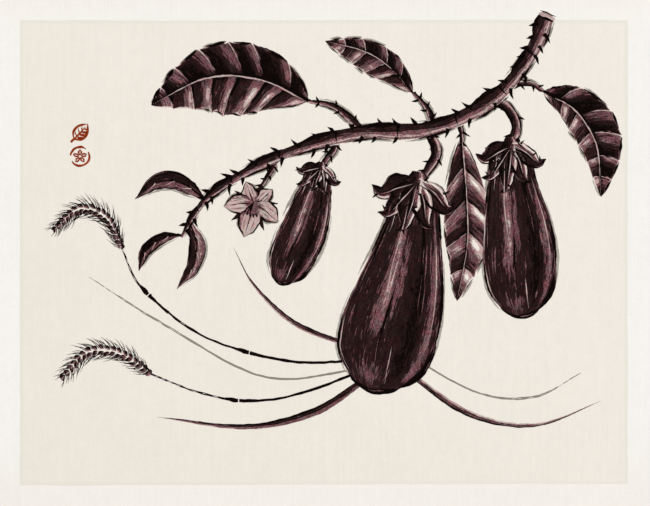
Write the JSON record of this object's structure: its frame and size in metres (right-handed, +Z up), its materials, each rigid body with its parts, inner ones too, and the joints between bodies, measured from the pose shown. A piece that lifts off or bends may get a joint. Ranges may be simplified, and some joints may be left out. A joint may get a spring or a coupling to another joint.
{
  "type": "woodblock print",
  "caption": "Loose sheet of handmade paper with a colour woodblock picture on a pale tinted ground, a plain margin round it and a centre fold, lying face up.",
  "frame": {"origin": "centre of the sheet, in the plane of the table that it lies on", "axes": "+X along the sheet's long side to the picture's right, +Y towards the top of the picture, +Z up out of the printed face"},
  "size_m": [0.33, 0.258, 0.004],
  "materials": {
    "paper": "matt handmade paper with soft fibres and faint laid streaks",
    "ground_tint": "thin cream tint printed into the paper, darker in a line at its edge",
    "grey_ink": "thin warm grey ink printed into the paper",
    "picture_inks": "water-based wash, mauve, plum and black inks printed one over another, with dry brush streaks",
    "red_ink": "vermilion ink, matt, worn through in places"
  },
  "bodies": {
    "root": {"print_sheet": "paper"}
  },
  "joints": []
}
